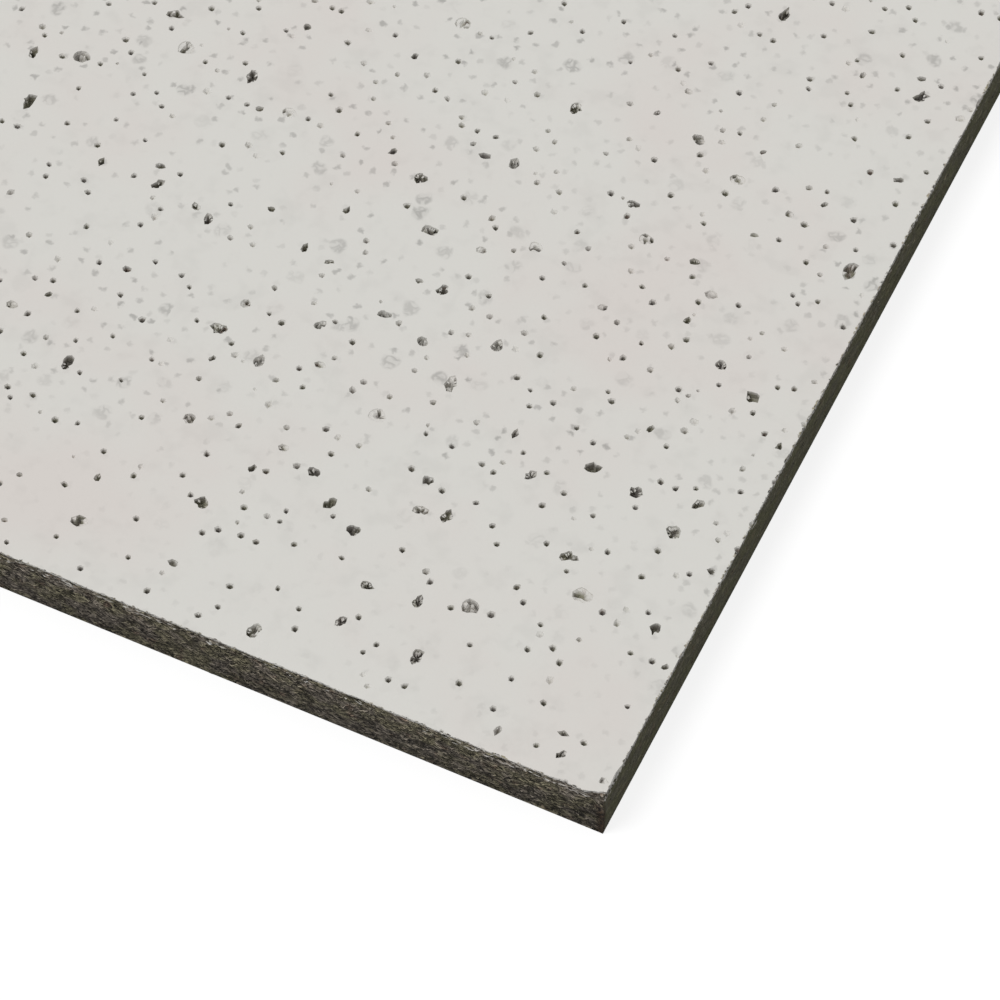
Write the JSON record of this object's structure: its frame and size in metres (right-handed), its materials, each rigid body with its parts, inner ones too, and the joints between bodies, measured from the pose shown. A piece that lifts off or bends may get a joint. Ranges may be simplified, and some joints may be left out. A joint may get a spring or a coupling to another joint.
{
  "type": "ceiling tile",
  "caption": "Square lay-in ceiling tile of felted mineral fibre, white painted face punched with sound-absorbing fissures, square-cut raw edges, drops into an exposed grid.",
  "frame": {"origin": "centre of the back of the board", "axes": "+Z out of the painted face; +X and +Y along the two sides of the square; the corner that shows in the picture is at +X, -Y"},
  "size_m": [0.595, 0.595, 0.015],
  "materials": {
    "painted_fibre_board": "matt off-white paint sprayed over the punched face",
    "raw_mineral_fibre": "bare sawn grey-brown mineral fibre at the edges, in the fissures and on the back"
  },
  "bodies": {
    "root": {"ceiling_tile": "painted_fibre_board"}
  },
  "joints": []
}
